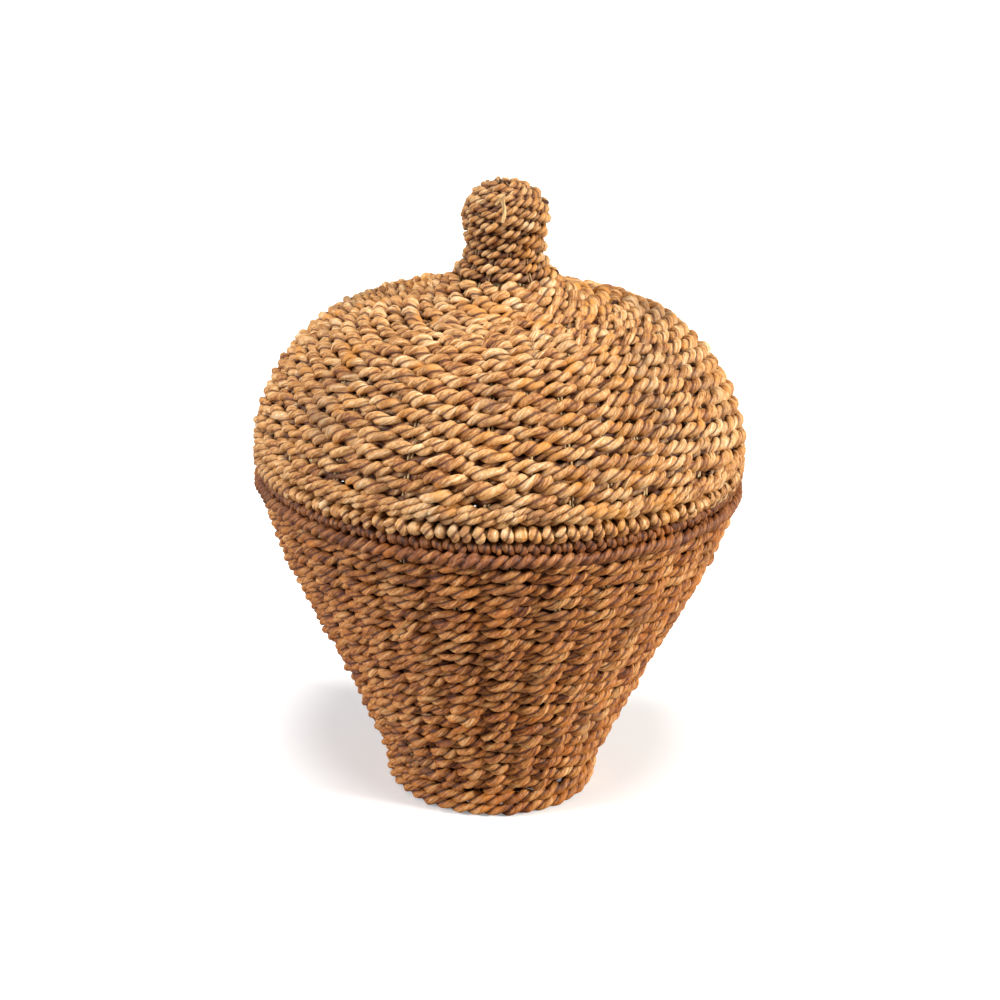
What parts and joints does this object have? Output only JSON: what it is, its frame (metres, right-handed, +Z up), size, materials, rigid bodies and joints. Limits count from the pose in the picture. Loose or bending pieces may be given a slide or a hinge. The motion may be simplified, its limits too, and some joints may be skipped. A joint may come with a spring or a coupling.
{
  "type": "lidded wicker basket",
  "caption": "Round lidded storage basket woven from twisted plant-fibre cord over stick stakes, with a rope foot, bound rims and a domed lid with a woven knob that lifts off.",
  "frame": {"origin": "middle of the foot on the floor", "axes": "+Z up the basket's axis of revolution; -Y is the side with the knob's pale tie"},
  "size_m": [0.3562, 0.3562, 0.4583],
  "materials": {
    "woven_cord": "matte",
    "stick": "matte",
    "binding": "matte",
    "rope": "matte"
  },
  "bodies": {
    "basket": {"base_weave": "woven_cord", "base_stakes": "stick", "base_hub": "woven_cord", "foot_rope_lower": "rope", "foot_rope_upper": "rope", "body_stakes": "stick", "body_weave_lower": "woven_cord", "body_weave_middle": "woven_cord", "body_weave_upper": "woven_cord", "body_wale": "rope", "body_rim_core": "stick", "body_rim_wrap": "binding"},
    "lid": {"lid_rim_core": "stick", "lid_rim_wrap": "binding", "lid_wale": "rope", "lid_weave_lower": "woven_cord", "lid_weave_upper": "woven_cord", "lid_stakes": "stick", "crown_weave": "woven_cord", "crown_stakes": "stick", "collar_rope_upper": "rope", "collar_rope_lower": "rope", "knob_core": "stick", "knob_stakes": "stick", "knob_weave": "woven_cord", "knob_cap": "woven_cord", "knob_tie": "stick"}
  },
  "joints": [
    {"name": "lid_lift", "type": "slide", "parent": "basket", "child": "lid", "axis": [0, 0, 1], "range_m": [0, 0.25]}
  ]
}
